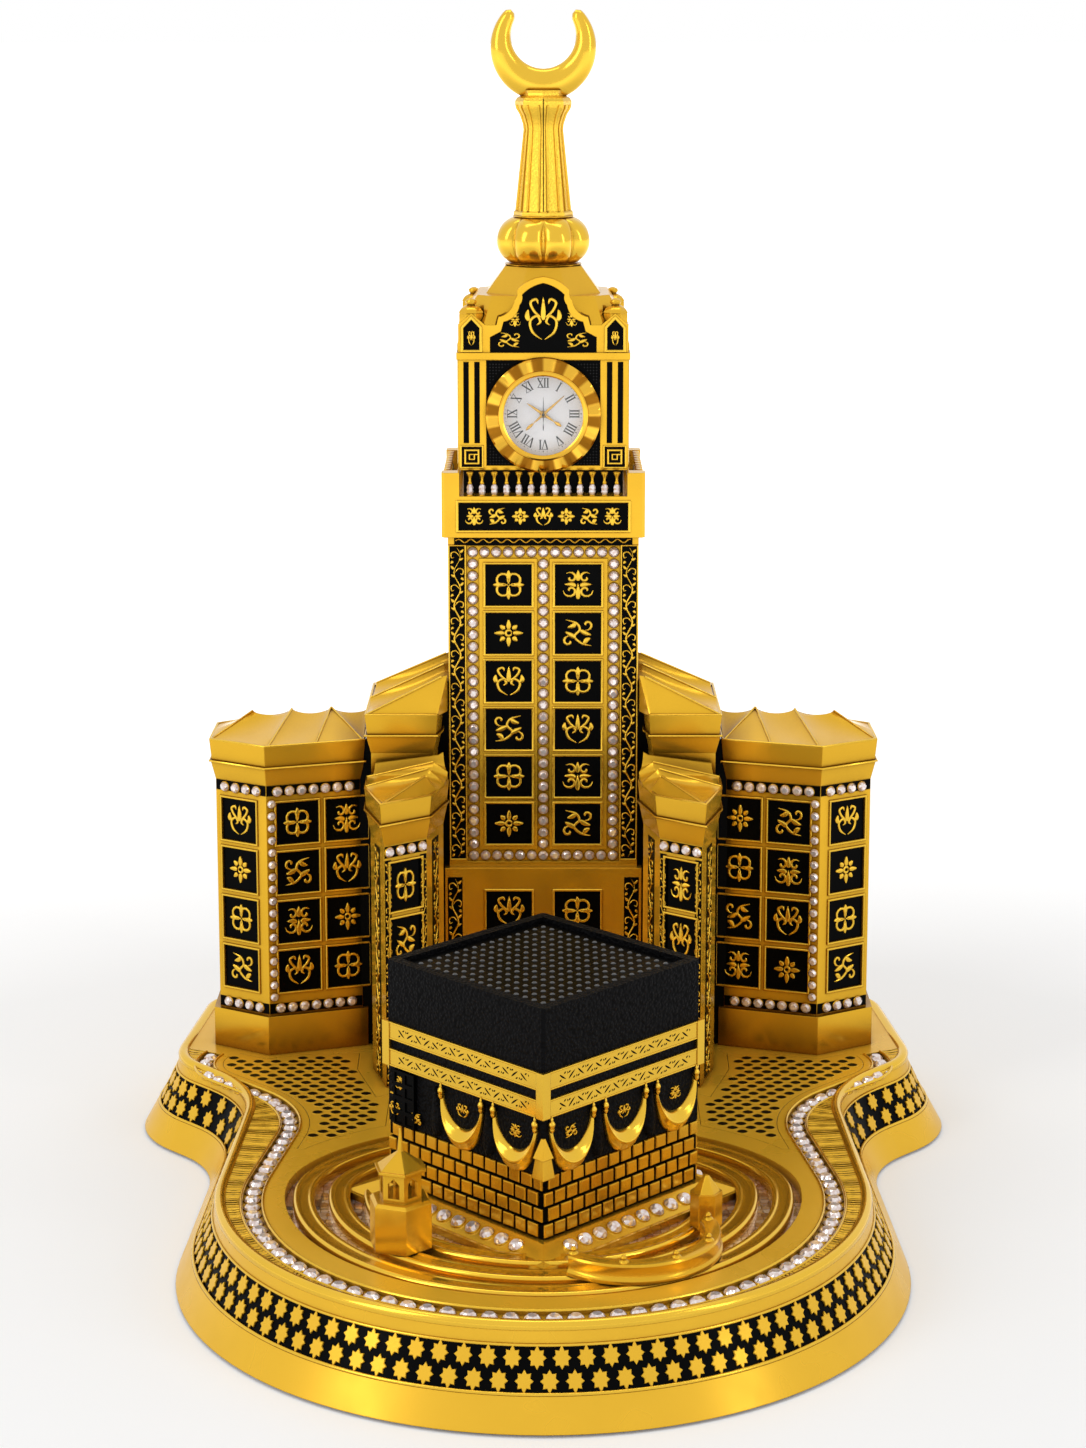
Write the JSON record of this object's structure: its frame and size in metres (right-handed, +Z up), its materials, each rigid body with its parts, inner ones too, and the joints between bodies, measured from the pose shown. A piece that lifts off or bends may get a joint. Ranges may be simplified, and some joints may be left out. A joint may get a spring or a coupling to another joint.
{
  "type": "decorative clock",
  "caption": "Ornamental desk clock on a waisted base, with a ringed court, a draped cube, tented wings and a tall tower that carries a round push-in clock below a crescent spire.",
  "frame": {"origin": "centre of the court on the underside of the base pad, in the plane of symmetry of the base", "axes": "+X to the viewer's right, +Y from the front lobe to the back, +Z up along the tower"},
  "size_m": [0.2562, 0.2865, 0.353],
  "materials": {
    "gold": "polished gold plate",
    "brass": "turned brass",
    "black_enamel": "glossy black enamel",
    "black_cloth": "grained matt black",
    "black_plastic": "matt moulded",
    "white_enamel": "glossy white",
    "nylon": "natural moulded",
    "steel": "plain steel",
    "copper": "copper winding on a steel frame",
    "felt": "black felt",
    "mirror": "mirror plate",
    "crystal": "clear cut stone",
    "lens_glass": "clear mineral glass"
  },
  "bodies": {
    "clock": {"base_shell": "gold", "inlay_band": "black_enamel", "bottom_plate": "black_plastic", "plate_screws": "steel", "base_pad": "felt", "court_floor": "mirror", "court_rings": "gold", "deck_panels": "gold", "court_stones": "crystal", "cube_plinth": "gold", "cube_masonry": "gold", "cube_cover": "black_cloth", "cube_roof_panel": "black_enamel", "cube_belts": "gold", "cube_swags": "gold", "cube_door": "gold", "corner_lantern": "gold", "kiosk": "gold", "arc_wall": "gold", "corner_kiosk": "gold", "tower_body": "gold", "tower_tiles": "black_enamel", "tower_stones": "crystal", "balcony": "gold", "balusters": "gold", "clock_housing": "gold", "head_panels": "black_enamel", "corner_turrets": "gold", "tower_roof": "gold", "spire_bulb": "gold", "spire_shaft": "gold", "crescent": "gold", "outer_wing_left": "gold", "outer_wing_right": "gold", "mid_wing_left": "gold", "mid_wing_right": "gold", "inner_wing_left": "gold", "inner_wing_right": "gold", "wing_tiles": "black_enamel", "wing_stones": "crystal", "clock_case": "black_plastic", "clock_bezel": "gold", "clock_lens": "lens_glass", "dial": "white_enamel", "front_plate": "black_plastic", "back_plate": "black_plastic", "stator_coil": "copper", "cell": "steel"},
    "minute": {"cannon_pinion": "brass", "minute_hand": "gold"},
    "hour": {"hour_wheel": "nylon", "hour_hand": "gold"},
    "minute_wheel_body": {"minute_wheel": "nylon"},
    "setting": {"set_knob": "nylon"},
    "seconds": {"seconds_wheel": "nylon", "second_hand": "black_enamel"},
    "fifth": {"fifth_wheel": "nylon"},
    "rotor_body": {"rotor": "steel"},
    "third": {"third_wheel": "nylon"},
    "centre": {"centre_wheel": "nylon"}
  },
  "joints": [
    {"name": "setting_spin", "type": "hinge", "parent": "clock", "child": "setting", "pos_m": [-0.00677, 0.126, 0.22594], "axis": [0, 1, 0], "continuous": true},
    {"name": "minute_spin", "type": "hinge", "parent": "clock", "child": "minute", "pos_m": [0, 0.126, 0.2284], "axis": [0, 1, 0], "continuous": true},
    {"name": "minute_wheel_spin", "type": "hinge", "parent": "clock", "child": "minute_wheel_body", "pos_m": [-0.00338, 0.126, 0.22717], "axis": [0, 1, 0], "continuous": true},
    {"name": "hour_spin", "type": "hinge", "parent": "clock", "child": "hour", "pos_m": [0, 0.126, 0.2284], "axis": [0, 1, 0], "continuous": true},
    {"name": "seconds_spin", "type": "hinge", "parent": "clock", "child": "seconds", "pos_m": [0, 0.126, 0.2284], "axis": [0, 1, 0], "continuous": true},
    {"name": "fifth_spin", "type": "hinge", "parent": "clock", "child": "fifth", "pos_m": [0, 0.126, 0.2328], "axis": [0, 1, 0], "continuous": true},
    {"name": "rotor_spin", "type": "hinge", "parent": "clock", "child": "rotor_body", "pos_m": [0.00348, 0.126, 0.23407], "axis": [0, 1, 0], "continuous": true},
    {"name": "third_spin", "type": "hinge", "parent": "clock", "child": "third", "pos_m": [0.00372, 0.126, 0.22625], "axis": [0, 1, 0], "continuous": true},
    {"name": "centre_spin", "type": "hinge", "parent": "clock", "child": "centre", "pos_m": [0, 0.126, 0.2284], "axis": [0, 1, 0], "continuous": true}
  ],
  "couplings": [
    {"joint": "minute_spin", "follows": "setting_spin", "ratio": 1},
    {"joint": "minute_wheel_spin", "follows": "setting_spin", "ratio": -0.33333},
    {"joint": "hour_spin", "follows": "setting_spin", "ratio": 0.083333},
    {"joint": "fifth_spin", "follows": "seconds_spin", "ratio": -6},
    {"joint": "rotor_spin", "follows": "seconds_spin", "ratio": 30},
    {"joint": "third_spin", "follows": "seconds_spin", "ratio": -0.13333},
    {"joint": "centre_spin", "follows": "seconds_spin", "ratio": 0.016667}
  ]
}
